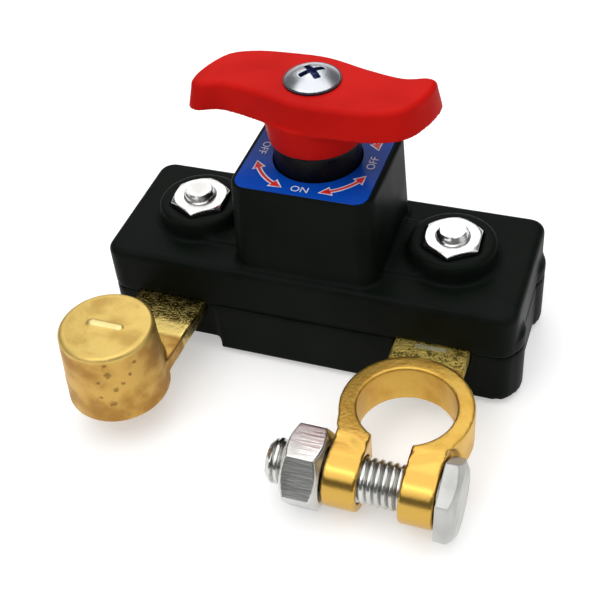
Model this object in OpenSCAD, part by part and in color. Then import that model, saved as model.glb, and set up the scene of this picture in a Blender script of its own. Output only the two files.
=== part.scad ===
// Battery disconnect switch: a rotary cut-off between two cast brass battery
// terminals. X runs along the housing, Y from the terminals' side (-Y) to the
// back, Z up. The origin lies on the knob's axis at the base's underside.

/* [Housing] */
// Length of the housing along X
housing_l = 78.4; // [76:0.2:90]
// Width of the housing along Y
housing_w = 28.8; // [28:0.2:40]
// Height of the base, from its underside to the seam
base_h = 10.8; // [10:0.2:16]
// Height of the cover's slab above the seam
cover_h = 9.4; // [8:0.2:14]
// Radius of the housing's upright corners
corner_r = 3; // [2:0.5:5]
// Radius of the rounding along the cover's top edges
edge_r = 1.2; // [0.6:0.1:2]
// Thickness of the base's floor
floor_t = 2.4; // [1.6:0.1:4]
// Height of the relief under the two arms
relief_h = 2.2; // [1:0.1:3]
// Distance from each end of the housing to the base's full-depth middle
foot_inset = 21.8; // [20:0.2:25]
// Amount that the base's middle stands out in front of the cover
foot_proud = 0.4; // [0.1:0.1:1]
// Radius of the four screw columns
column_r = 5.2; // [4:0.1:6]
// Amount that the columns bulge beyond the end walls
column_proud = 1; // [0.5:0.1:2]
// Height of the columns above the seam
column_rise = 3.8; // [2:0.1:6]

/* [Tower] */
// Length of the tower's foot along X
tower_l = 27.4; // [25.4:0.1:32]
// Width of the tower's foot along Y
tower_w = 25; // [24.6:0.1:28]
// Height of the tower above the slab
tower_h = 18; // [16:0.5:26]
// Radius of the tower's upright corners
tower_r = 3.2; // [2:0.1:4]
// Draft of each tower wall, from foot to top
tower_draft = 0.6; // [0.2:0.1:1]
// Thickness of the tower's roof
roof_t = 4; // [3:0.1:5]

/* [Stud bosses] */
// Distance of each stud from its end of the housing
stud_inset = 14.6; // [13.5:0.1:15.5]
// Radius of the raised boss round a stud
boss_r = 8; // [7.4:0.1:8.6]
// Height of the boss above the slab
boss_h = 3.9; // [3:0.1:6]
// Height of the low land that joins the boss to the tower
land_h = 0.8; // [0.4:0.1:1.2]
// Diameter of the studs
stud_d = 6; // [5:0.5:6]
// Size of the stud nuts across their flats
stud_nut_af = 10; // [9.5:0.1:10.5]
// Height of the stud nuts
stud_nut_h = 5.1; // [4:0.1:6]
// Amount that a stud nut stands out of its boss
nut_proud = 0.9; // [0.3:0.1:2]
// Amount that a stud stands out of its nut
stud_proud = 1.4; // [0.6:0.1:3]
// Thickness of the spring washers
spring_washer_t = 1.3; // [0.8:0.1:1.8]
// Height of the studs' heads
stud_head_h = 3.6; // [2.5:0.1:4.5]

/* [Terminals] */
// Width of the flat arms
arm_w = 13.6; // [12:0.2:16]
// Thickness of the flat arms
arm_t = 3; // [2:0.1:3.6]
// Amount that the arms' top lies above the seam
arm_rise = 0.4; // [0.1:0.1:1]
// Narrowing of the post's arm, from the housing to the post
arm_taper = 0.7; // [0:0.1:2]
// Half width of the plates inside the housing
plate_half_w = 5.5; // [4:0.1:6]
// Distance of the plates' inner ends from the knob's axis
plate_gap_half = 5; // [4.5:0.1:6]
// Radius of the contact buttons
button_r = 3; // [2:0.1:3.2]
// Height of the contact buttons above the plates
button_h = 0.8; // [0.4:0.1:1.2]

/* [Battery post] */
// Distance of the post's centre outside its stud
post_out = 4.5; // [2.5:0.1:6]
// Centre of the post along Y
post_y = -33.8; // [-40:0.2:-30]
// Height of the post
post_h = 15.3; // [13:0.1:20]
// Diameter of the post at its top
post_d = 17.1; // [15:0.1:18]
// Growth of the post's diameter over its height
post_taper = 1.6; // [1:0.1:2.4]
// Amount that the post reaches below its arm
post_drop = 2.5; // [0:0.1:4]

/* [Clamp] */
// Distance of the clamp ring's centre inside its stud
ring_in = 0.4; // [-1:0.1:1.2]
// Centre of the clamp ring along Y
ring_y = -30.2; // [-36:0.2:-29]
// Diameter of the ring's bore
ring_bore = 17; // [15:0.1:18]
// Thickness of the ring's wall
ring_wall = 3.1; // [2.4:0.1:4]
// Height of the ring
ring_h = 7.8; // [6:0.1:10]
// Amount that the ring stands above its arm
ring_step = 1; // [0.4:0.1:2]
// Gap between the jaws
jaw_gap = 7; // [5:0.1:8]
// Width of each bolt eye along X
eye_w = 6; // [5:0.1:7]
// Diameter of the bolt eyes
eye_d = 11.2; // [11:0.1:13]
// Clearance between the bolt and the ring's bore
bolt_clear = 0.15; // [0.1:0.05:1]
// Diameter of the clamp bolt
bolt_d = 8; // [6:0.5:8]
// Size of the clamp nut and the bolt's head across their flats
bolt_af = 13; // [12:0.1:14]
// Height of the clamp nut
clamp_nut_h = 6.8; // [5:0.1:8]
// Height of the bolt's head
bolt_head_h = 3.3; // [3:0.1:6]
// Amount that the bolt stands out of its nut
bolt_proud = 3.4; // [3.2:0.1:8]
// Gap between the nut, the head and the eyes
bolt_slack = 0.3; // [0.2:0.1:1]

/* [Rotor] */
// Diameter of the rotor's neck
neck_d = 15.6; // [14:0.1:16]
// Height of the neck above the tower
neck_h = 5; // [3:0.1:6]
// Diameter of the rotor's body
rotor_d = 19.2; // [18:0.1:20]
// Side of the square spigot under the knob
spigot_s = 8; // [7:0.1:9]
// Length of the square spigot
spigot_h = 6.1; // [4:0.1:6.7]
// Running clearance round the rotor
run_gap = 0.05; // [0.02:0.01:0.1]
// Height of the seal's groove in the neck
groove_h = 1.6; // [1.2:0.1:2.2]
// Depth of the seal's groove
groove_t = 1.5; // [1:0.1:2]
// Length of the contact bridge
bridge_l = 23; // [20:0.5:24]
// Width of the contact bridge
bridge_w = 8; // [6:0.1:8.4]
// Thickness of the contact bridge
bridge_t = 2.5; // [1.5:0.1:3]
// Gap between the bridge and the contact buttons
bridge_gap = 0.15; // [0.1:0.05:0.3]
// Length of the contact spring
spring_l = 11; // [8:0.5:13]
// Mean diameter of the contact spring
spring_d = 6.6; // [5:0.1:7]
// Diameter of the spring's wire
wire_d = 1; // [0.6:0.1:1.2]
// Number of turns of the spring
spring_turns = 5; // [4:1:7]

/* [Knob] */
// Scale of the handle's outline
knob_scale = 1; // [0.9:0.05:1.2]
// Height of the handle's bar
knob_h = 5.2; // [4.6:0.1:8]
// Height of the hub below the bar
hub_h = 5.5; // [4:0.1:7]
// Diameter of the hub at its lower end
hub_d = 16.6; // [15:0.1:18]
// Flare of the hub's diameter, towards the bar
hub_flare = 1.8; // [0.5:0.1:2.4]
// Wall of the handle round the hollows in its wings
knob_wall = 1.7; // [1.2:0.1:2.4]
// Draft of the handle's walls, from its lower edge to its top
knob_draft = 0.8; // [0:0.1:1]
// Rounding of the handle's top edge
knob_edge = 1.2; // [0.6:0.1:1.6]
// Diameter of the knob screw's head
screw_head_d = 9.6; // [8:0.1:11]
// Height of the knob screw's domed head
screw_head_h = 1.6; // [1:0.1:2.5]
// Diameter of the knob screw's shank
screw_d = 5; // [4:0.1:5.4]
// Depth of the knob screw's hole below the top of the neck
screw_depth = 10; // [8:0.5:14]
// Thickness of the washer under the screw's head
washer_t = 0.4; // [0.2:0.1:1]

/* [Hidden] */
$fn = 64;

fit = 0.15;          // play round a piece that is laid into a pocket
cut = 1;             // overshoot of a cut past the face that it opens
label_t = 0.2;
seam_z = base_h;
slab_top = seam_z + cover_h;
foot_half_l = housing_l / 2 - foot_inset;
stud_x = housing_l / 2 - stud_inset;
tower_top = slab_top + tower_h;
label_top = tower_top + label_t;
arm_top = seam_z + arm_rise;
arm_bottom = arm_top - arm_t;
boss_top = slab_top + boss_h;
nut_top = boss_top + nut_proud;
nut_bottom = nut_top - stud_nut_h;
pocket_floor = nut_bottom - spring_washer_t;
stud_top = nut_top + stud_proud;
column_x = housing_l / 2 + column_proud - column_r;
column_y = housing_w / 2 - column_r;
post_arm_x = -stud_x - 1.8;
clamp_arm_x = stud_x - 0.1;
post_x = -stud_x - post_out;
ring_x = stud_x - ring_in;
roof_z = tower_top - roof_t;
button_x = plate_gap_half + button_r + 0.6;
button_top = arm_top + button_h;
bridge_z = button_top + bridge_gap;
bridge_top = bridge_z + bridge_t;
chamber_r = max(bridge_l / 2, button_x + button_r) + 0.5;
rotor_foot = button_top + 0.6;
thrust_t = 0.25;
neck_top = tower_top + neck_h;
hub_z = neck_top + 0.1;
bar_z = hub_z + hub_h;
knob_top = bar_z + knob_h;
bolt_y = ring_y - ring_bore / 2 - bolt_d / 2 - bolt_clear;
ring_top = arm_top + ring_step;
ring_bottom = ring_top - ring_h;
bolt_z = ring_top - 0.4 - eye_d / 2;
jaw_x = ring_x - 0.4;
throat_y = ring_y - sqrt(pow(ring_bore / 2, 2) - pow(jaw_gap / 2 - ring_x + jaw_x, 2));
eye_left = jaw_x - jaw_gap / 2 - eye_w;
eye_right = jaw_x + jaw_gap / 2 + eye_w;
screw_pilot_d = 3;
pocket_corner = 33;   // angle of the stud nuts' corners
bolt_corner = 10;     // angle of the clamp nut's and the head's corners

// A rectangle with round corners, centred on the origin
module round_rect(l, w, r) {
    square([l - 2 * r, w], center = true);
    square([l, w - 2 * r], center = true);
    for (x = [-1, 1], y = [-1, 1])
        translate([x * (l / 2 - r), y * (w / 2 - r)]) circle(r);
}

// A hexagon by its size across flats, with a corner at the given angle
module hexagon(af, corner = 0) {
    rotate(corner) circle(d = af / cos(30), $fn = 6);
}

// A block whose top edge is rounded and whose walls may lean in
module soft_block(l, w, z0, z1, r, edge, draft = 0) {
    hull() for (x = [-1, 1], y = [-1, 1]) {
        translate([x * (l / 2 - r), y * (w / 2 - r), z0])
            cylinder(r = r, h = 0.1, $fn = 32);
        translate([x * (l / 2 - r - draft), y * (w / 2 - r - draft), z1 - edge])
            rotate_extrude($fn = 32) {
                square([r - edge, edge]);
                intersection() {
                    translate([r - edge, 0]) circle(edge, $fn = 32);
                    square([r, edge]);
                }
            }
    }
}

// The outline of a terminal's plate inside the housing and its arm
module plate_outline(side, arm_x, reach, grow = 0, taper = 0) {
    inner = plate_gap_half - grow;
    far = max(abs(arm_x) + arm_w / 2, stud_x + 5) + grow;
    back = plate_half_w + grow;
    translate([side > 0 ? inner : -far, -back]) square([far - inner, 2 * back]);
    half_w = arm_w / 2 + grow;
    polygon([[arm_x - half_w, back], [arm_x - half_w, reach], [arm_x + half_w - taper, reach],
             [arm_x + half_w, -housing_w / 2], [arm_x + half_w, back]]);
}

// Both plates' pockets, from height z0 to z1
module plate_pockets(z0, z1) {
    for (side = [-1, 1])
        translate([0, 0, z0]) linear_extrude(z1 - z0)
            plate_outline(side, side > 0 ? clamp_arm_x : post_arm_x, -housing_w, fit);
}

// The four screw columns' plan
module at_columns() {
    for (x = [-1, 1], y = [-1, 1]) translate([x * column_x, y * column_y]) children();
}

// The lower moulding: floor, walls, screw columns and beds for the plates
module base() {
    color([0.07, 0.075, 0.07])
    difference() {
        union() {
            linear_extrude(seam_z) {
                round_rect(housing_l, housing_w, corner_r);
                at_columns() circle(column_r);
            }
            translate([-foot_half_l, -housing_w / 2 - foot_proud, 0])
                cube([2 * foot_half_l, housing_w / 2, seam_z]);
        }
        // relief under the arms, from the middle block to the columns
        for (side = [-1, 1])
            translate([side > 0 ? foot_half_l : -column_x + column_r, -housing_w / 2 - cut, -cut])
                cube([column_x - column_r - foot_half_l, column_y + cut, relief_h + cut]);
        translate([0, 0, floor_t]) cylinder(r = chamber_r, h = seam_z);
        plate_pockets(arm_bottom, seam_z + cut);
        for (side = [-1, 1])
            translate([side * stud_x, 0, arm_bottom - stud_head_h - 0.2])
                cylinder(d = stud_nut_af / cos(30) + 2 * fit, h = seam_z);
        at_columns() {
            translate([0, 0, -cut]) cylinder(d = screw_pilot_d + 0.4, h = seam_z + 2 * cut);
            translate([0, 0, -cut]) cylinder(d = 2 * screw_pilot_d + 0.4, h = cut + 2);
        }
    }
}

// A stud's boss: a drum with a rounded rim
module boss() {
    rim = 0.7;
    rotate_extrude()
        polygon(concat([[0, 0], [boss_r + 0.3, 0]],
                       [for (a = [0:15:90]) [boss_r - rim + rim * cos(a), boss_h - rim + rim * sin(a)]],
                       [[0, boss_h]]));
}

// The upper moulding: slab, tower, bosses and the rotor's bearing
module cover() {
    color([0.07, 0.075, 0.07])
    difference() {
        union() {
            soft_block(housing_l, housing_w, seam_z, slab_top, corner_r, edge_r);
            soft_block(tower_l, tower_w, slab_top - cut, tower_top, tower_r, 0.6, tower_draft);
            for (side = [-1, 1]) {
                translate([side * stud_x, 0, slab_top]) boss();
                translate([side > 0 ? 0 : -stud_x, -boss_r + 0.4, slab_top - cut])
                    cube([stud_x, 2 * boss_r - 0.8, cut + land_h]);
            }
            translate([0, 0, seam_z]) at_columns() {
                cylinder(r = column_r, h = column_rise - 1);
                translate([0, 0, column_rise - 1]) cylinder(r1 = column_r, r2 = column_r - 1, h = 1);
            }
        }
        // chamber of the contact bridge, and the well of the rotor above it
        translate([0, 0, seam_z - cut]) cylinder(r = chamber_r, h = cut + bridge_top + 0.4 - seam_z);
        translate([0, 0, seam_z]) cylinder(d = rotor_d + 1, h = roof_z - seam_z);
        translate([0, 0, roof_z - cut]) cylinder(d = neck_d + 2 * run_gap, h = roof_t + 2 * cut);
        plate_pockets(seam_z - cut, arm_top + 0.05);
        for (side = [-1, 1]) translate([side * stud_x, 0, 0]) {
            translate([0, 0, seam_z]) cylinder(d = stud_d + 0.4, h = cover_h + boss_h);
            translate([0, 0, pocket_floor])
                linear_extrude(boss_h + cover_h) hexagon(stud_nut_af + 0.4, pocket_corner);
        }
        at_columns() translate([0, 0, seam_z - cut])
            cylinder(d = screw_pilot_d + 0.1, h = cut + cover_h - 2.5);
    }
}

// The square film label round the neck
module dial_label() {
    color([0.05, 0.25, 0.75])
    translate([0, 0, tower_top]) linear_extrude(label_t) difference() {
        round_rect(tower_l - 2 * tower_draft - 2, tower_w - 2 * tower_draft - 0.4, 2.4);
        circle(d = neck_d + 0.6);
    }
}

// A terminal's flat plate and arm, drilled for its stud and contact button
module plate(side, arm_x, reach, taper = 0) {
    translate([0, 0, arm_bottom]) linear_extrude(arm_t) difference() {
        plate_outline(side, arm_x, reach, 0, taper);
        translate([side * stud_x, 0]) circle(d = stud_d + 0.1);
        translate([side * button_x, 0]) circle(d = button_r + 0.1);
    }
}

// The cast brass arm with its battery post, marked with a minus bar
module post_terminal() {
    post_z = arm_bottom - post_drop;
    lip = 0.5;
    r0 = (post_d + post_taper) / 2;
    r1 = post_d / 2;
    color([0.8, 0.6, 0.25]) {
        difference() {
            union() {
                plate(-1, post_arm_x, post_y + 3, arm_taper);
                translate([post_x, post_y, arm_bottom]) cylinder(r = r0 - 0.2, h = arm_t);
            }
            translate([post_x, post_y, arm_bottom - cut]) cylinder(r = r0 - 0.5, h = arm_t + 2 * cut);
        }
        translate([post_x, post_y, post_z]) rotate_extrude()
            polygon([[0, 0], [r0 - lip, 0], [r0, lip], [r1, post_h - lip], [r1 - lip, post_h], [0, post_h]]);
        translate([post_x, post_y, post_z + post_h - cut]) linear_extrude(cut + 0.4) {
            square([5.4, 1.1], center = true);
            for (x = [-1, 1]) translate([x * 2.7, 0]) circle(d = 1.1);
        }
    }
}

// One bolt eye with its block, from x0 along X
module eye(x0) {
    translate([x0, bolt_y, bolt_z]) rotate([0, 90, 0]) cylinder(d = eye_d, h = eye_w);
    translate([x0, bolt_y, bolt_z - eye_d / 2]) cube([eye_w, throat_y - bolt_y - 0.1, eye_d]);
}

// The cast brass arm with its split clamp ring
module clamp_terminal() {
    outer_r = ring_bore / 2 + ring_wall;
    color([0.8, 0.6, 0.25])
    difference() {
        union() {
            plate(1, clamp_arm_x, ring_y);
            translate([ring_x, ring_y, ring_bottom]) cylinder(r = outer_r, h = ring_h);
            translate([0, 0, ring_bottom]) linear_extrude(ring_h)
                polygon([[ring_x - outer_r, ring_y], [eye_left, bolt_y + eye_d / 2 - 2],
                         [eye_right, bolt_y + eye_d / 2 - 2], [ring_x + outer_r, ring_y]]);
            eye(eye_left);
            eye(eye_right - eye_w);
        }
        translate([ring_x, ring_y, -eye_d]) cylinder(d = ring_bore, h = 3 * eye_d);
        // relief behind the eyes, below the ring
        translate([ring_x, ring_y, -eye_d]) cylinder(r = ring_bore / 2 + 0.3, h = eye_d + ring_bottom);
        translate([jaw_x - jaw_gap / 2, bolt_y - eye_d, -eye_d])
            cube([jaw_gap, ring_y - bolt_y + eye_d, 3 * eye_d]);
        translate([eye_left - cut, bolt_y, bolt_z]) rotate([0, 90, 0])
            cylinder(d = bolt_d + 0.4, h = eye_right - eye_left + 2 * cut);
        // spot faces that let the nut and the head turn beside the ring
        for (x = [eye_left - eye_w, eye_right]) translate([x, bolt_y, bolt_z]) rotate([0, 90, 0])
            cylinder(d = bolt_af / cos(30) + 1, h = eye_w);
    }
}

// A contact button riveted through its plate
module contact_button(side) {
    color([0.8, 0.8, 0.82]) translate([side * button_x, 0, 0]) {
        translate([0, 0, arm_bottom]) cylinder(d = button_r, h = arm_t);
        translate([0, 0, arm_top]) cylinder(r = button_r, h = button_h);
    }
}
module post_contact() { contact_button(-1); }
module clamp_contact() { contact_button(1); }

// A stud: a bolt whose head lies under the plate
module stud(side) {
    dome = 0.8;
    color([0.82, 0.83, 0.84]) translate([side * stud_x, 0, 0]) {
        translate([0, 0, arm_bottom - stud_head_h]) linear_extrude(stud_head_h) hexagon(stud_nut_af);
        translate([0, 0, arm_bottom - 0.5]) cylinder(d = stud_d, h = stud_top - dome - arm_bottom + 0.5);
        translate([0, 0, stud_top - dome]) cylinder(d1 = stud_d, d2 = stud_d - 2 * dome, h = dome);
    }
}
module post_side_stud() { stud(-1); }
module clamp_side_stud() { stud(1); }

// A hexagon nut along Z with both ends chamfered and a plain bore
module hex_nut(af, h, bore, corner) {
    corner_d = af / cos(30);
    bevel = (corner_d - af) / 2;
    difference() {
        intersection() {
            linear_extrude(h) hexagon(af, corner);
            rotate_extrude() polygon([[0, 0], [af / 2, 0], [corner_d / 2 + 0.01, bevel * 0.6],
                [corner_d / 2 + 0.01, h - bevel * 0.6], [af / 2, h], [0, h]]);
        }
        translate([0, 0, -cut]) cylinder(d = bore, h = h + 2 * cut);
    }
}

// A stud's nut, standing in the hexagon pocket of its boss
module stud_nut(side) {
    color([0.82, 0.83, 0.84])
    translate([side * stud_x, 0, nut_bottom]) hex_nut(stud_nut_af, stud_nut_h, stud_d + 0.1, pocket_corner);
}
module post_side_nut() { stud_nut(-1); }
module clamp_side_nut() { stud_nut(1); }

// A split spring washer under a stud's nut
module spring_washer(side) {
    color([0.6, 0.61, 0.62])
    translate([side * stud_x, 0, pocket_floor]) linear_extrude(spring_washer_t) difference() {
        circle(d = stud_nut_af - 0.6);
        circle(d = stud_d + 0.3);
        rotate(20) translate([0, -0.3]) square([stud_nut_af, 0.6]);
    }
}
module post_side_spring_washer() { spring_washer(-1); }
module clamp_side_spring_washer() { spring_washer(1); }

// The hexagon bolt that draws the jaws together, head to +X
module clamp_bolt() {
    x0 = eye_left - bolt_slack - clamp_nut_h - bolt_proud;
    x1 = eye_right + bolt_slack;
    tip = 0.8;
    corner_d = bolt_af / cos(30);
    color([0.75, 0.76, 0.77]) translate([0, bolt_y, bolt_z]) rotate([0, 90, 0]) {
        translate([0, 0, x0]) cylinder(d1 = bolt_d - 2 * tip, d2 = bolt_d, h = tip);
        translate([0, 0, x0 + tip]) cylinder(d = bolt_d, h = x1 - x0 - tip + 0.5);
        translate([0, 0, x1]) intersection() {
            linear_extrude(bolt_head_h) hexagon(bolt_af, bolt_corner);
            cylinder(d1 = corner_d + 0.02 + 2 * bolt_head_h, d2 = bolt_af, h = bolt_head_h);
        }
    }
}

// The clamp bolt's nut
module clamp_nut() {
    color([0.75, 0.76, 0.77])
    translate([eye_left - bolt_slack - clamp_nut_h, bolt_y, bolt_z]) rotate([0, 90, 0])
        hex_nut(bolt_af, clamp_nut_h, bolt_d + 2 * run_gap, bolt_corner);
}

// The black rotor: neck, thrust shoulder, forked foot and square spigot
module rotor() {
    groove_z = roof_z + roof_t / 2;
    color([0.06, 0.06, 0.06])
    difference() {
        union() {
            translate([0, 0, rotor_foot]) cylinder(d = rotor_d, h = roof_z - thrust_t - 0.1 - rotor_foot);
            translate([0, 0, rotor_foot]) cylinder(d = neck_d, h = neck_top - rotor_foot);
            translate([-spigot_s / 2, -spigot_s / 2, neck_top - cut])
                cube([spigot_s, spigot_s, spigot_h + cut]);
        }
        translate([0, 0, groove_z]) rotate_extrude()
            translate([neck_d / 2 - groove_t, -groove_h / 2]) square([groove_t + cut, groove_h]);
        translate([-bridge_w / 2 - fit, -rotor_d, rotor_foot - cut])
            cube([bridge_w + 2 * fit, 2 * rotor_d, bridge_top + 0.2 - rotor_foot + cut]);
        translate([0, 0, rotor_foot]) cylinder(d = spring_d + wire_d + 0.6, h = bridge_top + spring_l - rotor_foot);
        translate([0, 0, neck_top - screw_depth]) cylinder(d = screw_d + 0.1, h = spigot_h + screw_depth + cut);
    }
}

// The sealing ring in the neck's groove
module shaft_seal() {
    color([0.1, 0.1, 0.1])
    translate([0, 0, roof_z + roof_t / 2]) rotate_extrude()
        translate([neck_d / 2 - groove_t / 2, 0]) circle(groove_t / 2 - 0.03);
}

// The thin washer between the rotor's shoulder and the roof
module thrust_washer() {
    color([0.7, 0.7, 0.7])
    translate([0, 0, roof_z - thrust_t - 0.05]) linear_extrude(thrust_t) difference() {
        circle(d = rotor_d - 0.2);
        circle(d = neck_d + 0.2);
    }
}

// The copper bar that joins the two contact buttons when the knob is at ON
module contact_bridge() {
    color([0.75, 0.45, 0.3])
    intersection() {
        translate([-bridge_w / 2, -bridge_l / 2, bridge_z]) cube([bridge_w, bridge_l, bridge_t]);
        translate([0, 0, bridge_z - cut]) cylinder(d = bridge_l, h = bridge_t + 2 * cut);
    }
}

// The coil spring that presses the bridge down, swept round its helix
module contact_spring() {
    sides = 8;
    steps = 16 * spring_turns;
    r = wire_d / 2;
    rise = spring_l - wire_d - 0.1;
    function ring(i) = let (a = 360 * spring_turns * i / steps, z = bridge_top + r + 0.05 + rise * i / steps)
        [for (k = [0:sides - 1]) let (b = 360 * k / sides, d = spring_d / 2 + r * cos(b))
            [d * cos(a), d * sin(a), z + r * sin(b)]];
    points = [for (i = [0:steps]) each ring(i)];
    walls = [for (i = [0:steps - 1], k = [0:sides - 1]) let (n = (k + 1) % sides)
        [i * sides + k, (i + 1) * sides + k, (i + 1) * sides + n, i * sides + n]];
    caps = [[for (k = [0:sides - 1]) k], [for (k = [sides - 1:-1:0]) steps * sides + k]];
    color([0.7, 0.7, 0.72]) polyhedron(points, concat(walls, caps), convexity = 10);
}

// Half of the handle's outline: the other half is its half turn
HANDLE = [[0.5, 8.8], [-7.2, 8.9], [-13.4, 8.2], [-18.2, 5.8], [-20.9, 0],
          [-21.3, -4.8], [-19.2, -6], [-15.2, -4.9], [-8.6, -6.3]];
HANDLE_REACH = [21.3, 8.9];

// A smooth closed curve through the points, with n steps between each two
function smooth(p, n) = [for (i = [0:len(p) - 1], k = [0:n - 1])
    let (m = len(p), t = k / n, a = p[(i + m - 1) % m], b = p[i], c = p[(i + 1) % m], d = p[(i + 2) % m])
    0.5 * (2 * b + (c - a) * t + (2 * a - 5 * b + 4 * c - d) * t * t + (3 * b - a - 3 * c + d) * t * t * t)];

function lean(draft) = [for (r = HANDLE_REACH) 1 - draft / r / knob_scale];
module handle_outline(draft = 0) {
    scale(knob_scale * lean(draft))
        polygon(smooth(concat(HANDLE, [for (q = HANDLE) -q]), 5));
}

// One wing's hollow: the outline inside its wall, outside the hub and beside the rib
module wing_hollow(side) {
    rib = knob_wall - 0.1;
    far = housing_l;     // beyond the outline on every side
    intersection() {
        offset(delta = -knob_wall) handle_outline(knob_draft);
        difference() {
            translate([side > 0 ? 0 : -far, -far]) square([far, 2 * far]);
            circle(d = hub_d + hub_flare);
            translate([-far, -side * knob_scale - rib / 2]) square([2 * far, rib]);
        }
    }
}

// The red moulded knob: S-shaped bar on a flared hub with a square socket
module knob() {
    layers = 5;
    color([0.85, 0.1, 0.08])
    difference() {
        union() {
            translate([0, 0, bar_z])
                linear_extrude(knob_h - knob_edge, scale = lean(knob_draft), slices = 1) handle_outline();
            for (i = [0:layers - 1]) let (a = 90 * (i + 0.5) / layers)
                translate([0, 0, knob_top - knob_edge + knob_edge * sin(90 * i / layers) - 0.01])
                    linear_extrude(knob_edge * (sin(90 * (i + 1) / layers) - sin(90 * i / layers)) + 0.01)
                        offset(delta = -knob_edge * (1 - cos(a))) handle_outline(knob_draft);
            translate([0, 0, hub_z]) cylinder(d1 = hub_d, d2 = hub_d + hub_flare, h = hub_h + 0.5);
        }
        for (side = [-1, 1])
            translate([0, 0, bar_z - cut]) linear_extrude(cut + knob_h - knob_edge - knob_wall / 2)
                wing_hollow(side);
        translate([-spigot_s / 2 - 0.1, -spigot_s / 2 - 0.1, hub_z - cut])
            cube([spigot_s + 0.2, spigot_s + 0.2, cut + spigot_h + 0.1]);
        translate([0, 0, hub_z]) cylinder(d = screw_d + 0.3, h = hub_h + knob_h + cut);
    }
}

// The dark washer between the screw's head and the knob
module knob_washer() {
    color([0.15, 0.15, 0.2])
    translate([0, 0, knob_top]) linear_extrude(washer_t) difference() {
        circle(d = screw_head_d + 0.3);
        circle(d = screw_d + 0.3);
    }
}

// The truss-head screw with its cross recess
module knob_screw() {
    head_z = knob_top + washer_t;
    r = screw_head_d / 2;
    ball = (r * r + screw_head_h * screw_head_h) / (2 * screw_head_h);
    reach = asin(r / ball);
    color([0.85, 0.86, 0.87]) difference() {
        union() {
            translate([0, 0, head_z]) rotate_extrude()
                polygon(concat([[0, 0]], [for (i = [0:8]) let (a = reach * (1 - i / 8))
                    [ball * sin(a), ball * cos(a) - ball + screw_head_h]]));
            translate([0, 0, neck_top - screw_depth + 2]) cylinder(d = screw_d, h = head_z - neck_top + screw_depth - 1.7);
        }
        for (a = [45, 135]) rotate(a)
            translate([-2.3, -0.55, head_z + 0.3]) cube([4.6, 1.1, screw_head_h + cut]);
    }
}

// The four screws that hold the cover down from below
module housing_screws() {
    length = seam_z - 2 + cover_h - 3;
    color([0.6, 0.61, 0.62]) at_columns() {
        translate([0, 0, 2]) cylinder(d = screw_pilot_d, h = length);
        translate([0, 0, 0.3]) difference() {
            cylinder(d = 2 * screw_pilot_d, h = 1.7);
            for (a = [0, 90]) rotate(a) translate([-1.6, -0.35, -cut]) cube([3.2, 0.7, cut + 0.9]);
        }
    }
}

base();
cover();
dial_label();
post_terminal();
clamp_terminal();
post_contact();
clamp_contact();
post_side_stud();
clamp_side_stud();
post_side_nut();
clamp_side_nut();
post_side_spring_washer();
clamp_side_spring_washer();
clamp_bolt();
clamp_nut();
rotor();
shaft_seal();
thrust_washer();
contact_bridge();
contact_spring();
knob();
knob_washer();
knob_screw();
housing_screws();
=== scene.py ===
import math

import bpy
from mathutils import Matrix, Vector


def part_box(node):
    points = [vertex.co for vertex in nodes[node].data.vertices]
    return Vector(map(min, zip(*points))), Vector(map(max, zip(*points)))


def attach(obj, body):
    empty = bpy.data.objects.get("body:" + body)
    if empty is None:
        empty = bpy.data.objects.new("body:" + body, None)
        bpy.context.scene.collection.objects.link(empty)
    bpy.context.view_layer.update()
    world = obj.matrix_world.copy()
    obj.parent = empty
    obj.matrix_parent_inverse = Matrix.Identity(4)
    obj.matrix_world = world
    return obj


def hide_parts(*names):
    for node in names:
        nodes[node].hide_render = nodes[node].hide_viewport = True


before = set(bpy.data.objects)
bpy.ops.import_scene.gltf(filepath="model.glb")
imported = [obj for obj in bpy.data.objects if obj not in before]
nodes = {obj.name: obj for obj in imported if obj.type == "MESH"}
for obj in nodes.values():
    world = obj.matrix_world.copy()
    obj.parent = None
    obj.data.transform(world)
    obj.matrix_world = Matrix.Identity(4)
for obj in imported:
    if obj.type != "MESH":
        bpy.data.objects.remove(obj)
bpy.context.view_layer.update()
MM = 0.001

# The studio: a pale floor just under the lowest point, a large soft lamp overhead and
# weaker ones behind, in front and on the right. What the camera and bright metal see of
# the floor stays white away from the lamps, up to the horizon of a grey room.
def add(tree, kind, **settings):
    """A shader node with its plain settings."""
    made = tree.nodes.new("ShaderNode" + kind)
    for key, value in settings.items():
        setattr(made, key, value)
    return made


def math_node(tree, operation, *values):
    """A math node whose inputs are numbers or sockets."""
    made = add(tree, "Math", operation=operation)
    for i, value in enumerate(values):
        if isinstance(value, (int, float)):
            made.inputs[i].default_value = value
        else:
            tree.links.new(value, made.inputs[i])
    return made.outputs[0]


def ramp(tree, source, low, high, out_low=0.0, out_high=1.0):
    """A smooth step of a value between two limits."""
    made = add(tree, "MapRange", interpolation_type="SMOOTHSTEP")
    limits = {"From Min": low, "From Max": high, "To Min": out_low, "To Max": out_high}
    for label, value in limits.items():
        made.inputs[label].default_value = value
    tree.links.new(source, made.inputs["Value"])
    return made.outputs[0]


FLOOR_DROP = 0.2 * MM
FLOOR_SIZE = 40
FLOOR_LIFT = 0.4
LIFT_NEAR, LIFT_FAR = 0.12, 0.7


def seen_ray(tree):
    """1 for what the camera sees, also in metal and through glass, and 0 for other light."""
    rays = add(tree, "LightPath").outputs
    mirrored = math_node(tree, "MAXIMUM", rays["Is Glossy Ray"], rays["Is Transmission Ray"])
    return math_node(tree, "MAXIMUM", rays["Is Camera Ray"], mirrored)


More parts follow.
